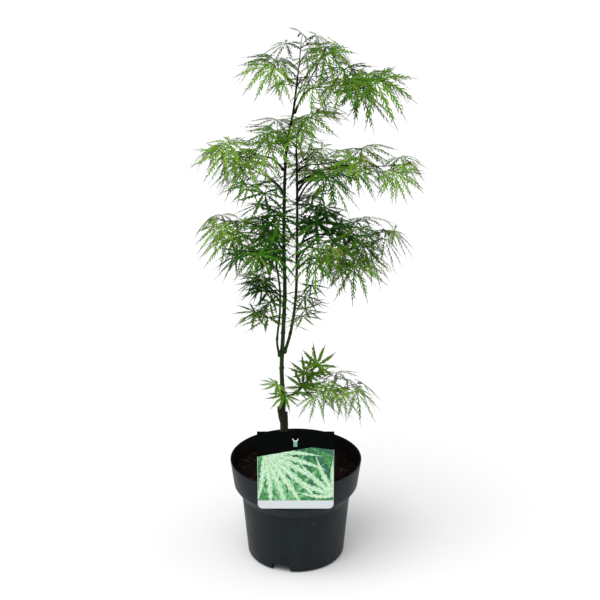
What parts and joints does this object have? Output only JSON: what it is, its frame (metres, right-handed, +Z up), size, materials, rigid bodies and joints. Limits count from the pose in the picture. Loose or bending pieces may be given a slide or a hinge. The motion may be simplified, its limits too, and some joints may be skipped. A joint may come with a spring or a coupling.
{
  "type": "potted japanese maple",
  "caption": "Young cutleaf japanese maple: slim trunk, tiered boughs and open masses of drooping leaves, in a round nursery pot of soil with a label card on its rim.",
  "frame": {"origin": "centre of the pot's flat underside, where the pot stands on the ground", "axes": "+Z up along the trunk, the plant's longest extent; -Y to the front, the side with the label card; +X to the right seen from the front"},
  "size_m": [0.3239, 0.2479, 0.757],
  "materials": {
    "pot_plastic": "moulded charcoal plastic, faintly bluish, softly matt",
    "compost": "dark bark compost with crumbs, dull",
    "card_print": "printed plastic card, softly glossy",
    "bark": "thin green-brown bark with pores, dull",
    "foliage": "fresh green leaves with a satin surface"
  },
  "bodies": {
    "root": {"pot": "pot_plastic", "soil": "compost", "label": "card_print", "trunk": "bark", "left_stem": "bark", "right_stem": "bark", "top_shoot": "bark", "top_right_bough": "bark", "second_left_bough": "bark", "second_upper_bough": "bark", "second_right_bough": "bark", "second_front_left_bough": "bark", "second_front_right_bough": "bark", "second_back_left_bough": "bark", "second_back_right_bough": "bark", "third_left_bough": "bark", "third_right_bough": "bark", "third_middle_bough": "bark", "third_front_left_bough": "bark", "third_front_right_bough": "bark", "third_back_left_bough": "bark", "third_back_right_bough": "bark", "low_bough": "bark", "crest_right_leaves": "foliage", "crest_leaves": "foliage", "crest_left_leaves": "foliage", "top_right_leaves": "foliage", "top_front_leaves": "foliage", "top_back_leaves": "foliage", "under_top_leaves": "foliage", "second_left_high_leaves": "foliage", "second_left_leaves": "foliage", "second_left_low_leaves": "foliage", "second_left_under_leaves": "foliage", "second_upper_leaves": "foliage", "second_right_leaves": "foliage", "second_right_low_leaves": "foliage", "second_right_high_leaves": "foliage", "second_front_left_leaves": "foliage", "second_front_right_leaves": "foliage", "second_back_left_leaves": "foliage", "second_back_right_leaves": "foliage", "third_left_leaves": "foliage", "third_left_tip_leaves": "foliage", "third_left_near_leaves": "foliage", "third_left_low_leaves": "foliage", "third_right_near_leaves": "foliage", "third_right_leaves": "foliage", "third_middle_leaves": "foliage", "third_front_left_leaves": "foliage", "third_front_right_leaves": "foliage", "third_back_left_leaves": "foliage", "third_back_right_leaves": "foliage", "third_right_low_leaves": "foliage", "low_left_leaves": "foliage", "low_right_leaves": "foliage", "low_bough_leaves": "foliage", "low_high_leaves": "foliage", "low_front_leaves": "foliage"}
  },
  "joints": []
}
